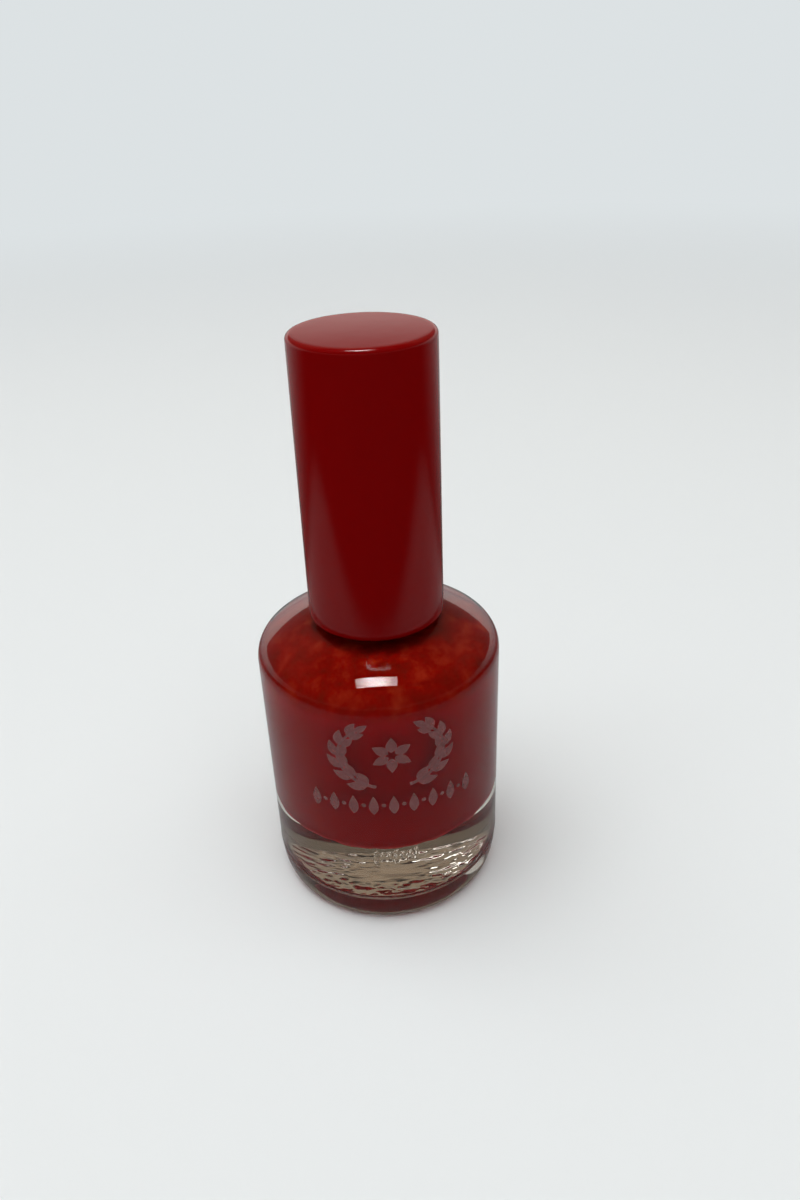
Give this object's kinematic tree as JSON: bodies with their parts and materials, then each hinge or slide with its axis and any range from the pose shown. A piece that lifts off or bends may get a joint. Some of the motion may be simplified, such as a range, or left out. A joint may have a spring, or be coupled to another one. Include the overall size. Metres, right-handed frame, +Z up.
{
  "type": "nail polish bottle",
  "caption": "Round clear glass nail polish bottle with a thick base, dark red lacquer and a tall glossy red screw cap that carries the brush.",
  "frame": {"origin": "centre of the ring that the bottle stands on, at the surface it rests on", "axes": "+Z up through the neck and the cap; -Y is the front, which carries the print"},
  "size_m": [0.031, 0.031, 0.0746],
  "materials": {
    "clear_glass": "clear pressed and blown soda-lime glass, smooth, with a thick base",
    "red_lacquer": "opaque dark red nail lacquer, wet and glossy",
    "cap_red": "high-gloss dark red lacquered plastic",
    "white_polypropylene": "natural white moulded polypropylene",
    "seal_foam": "soft pale closed-cell sealing washer",
    "stem_polyethylene": "satin white moulded polyethylene",
    "black_bristle": "fine black nylon filaments, wet with lacquer",
    "polished_steel": "bright stainless steel"
  },
  "bodies": {
    "bottle": {"glass_bottle": "clear_glass", "lacquer": "red_lacquer"},
    "ball_right": {"mixing_ball_right": "polished_steel"},
    "ball_left": {"mixing_ball_left": "polished_steel"},
    "seal": {"sealing_gasket": "seal_foam"},
    "brush": {"brush_stem": "stem_polyethylene", "bristle_tuft": "black_bristle", "tuft_staple": "polished_steel"},
    "cap": {"outer_cap": "cap_red", "inner_cap": "white_polypropylene"}
  },
  "joints": [
    {"name": "cap_lift", "type": "slide", "parent": "bottle", "child": "seal", "axis": [0, 0, 1], "range_m": [0, 0.06]},
    {"name": "cap_rise", "type": "slide", "parent": "seal", "child": "brush", "axis": [0, 0, 1], "range_m": [0, 0.00318]},
    {"name": "cap_turn", "type": "hinge", "parent": "brush", "child": "cap", "pos_m": [0, 0, 0.0504], "axis": [0, 0, 1], "range_deg": [0, 540]},
    {"name": "ball_right_roll", "type": "hinge", "parent": "bottle", "child": "ball_right", "pos_m": [0, 0, 0.01443], "axis": [0, 0, 1], "range_deg": [-70, 70]},
    {"name": "ball_left_roll", "type": "hinge", "parent": "bottle", "child": "ball_left", "pos_m": [0, 0, 0.01443], "axis": [0, 0, 1], "range_deg": [-70, 70]}
  ],
  "couplings": [
    {"joint": "cap_rise", "follows": "cap_turn", "m_per_rad": 0.00033693}
  ]
}
